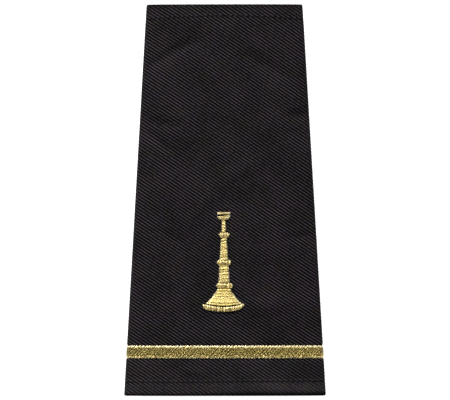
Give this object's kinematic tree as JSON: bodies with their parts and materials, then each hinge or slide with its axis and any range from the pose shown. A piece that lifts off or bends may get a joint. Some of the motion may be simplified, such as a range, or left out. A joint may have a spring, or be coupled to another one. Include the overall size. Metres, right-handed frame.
{
  "type": "shoulder board",
  "caption": "Slip-on shoulder board: a tapered black twill sleeve with a gold embroidered stripe and bugle, worn over the shoulder strap of a uniform.",
  "frame": {"origin": "centre of the base of the bounding box: the middle of the board, on the surface that its back rests on", "axes": "+X across the board to the right as seen from the front, +Y along the board towards its narrow mouth, +Z out of the embroidered face"},
  "size_m": [0.054, 0.105, 0.0079],
  "materials": {
    "black_twill": "matt black twill with fine slanted ribs",
    "gold_thread": "metallic gold thread in satin stitch"
  },
  "bodies": {
    "root": {"front_panel": "black_twill", "back_panel": "black_twill", "stripe": "gold_thread", "bugle_rim": "gold_thread", "bugle_bell": "gold_thread", "bugle_lower_collar": "gold_thread", "bugle_lower_tube": "gold_thread", "bugle_middle_collar": "gold_thread", "bugle_upper_tube": "gold_thread", "bugle_upper_collar": "gold_thread", "bugle_neck": "gold_thread", "bugle_cup": "gold_thread", "bugle_mouth_rim": "gold_thread"}
  },
  "joints": []
}
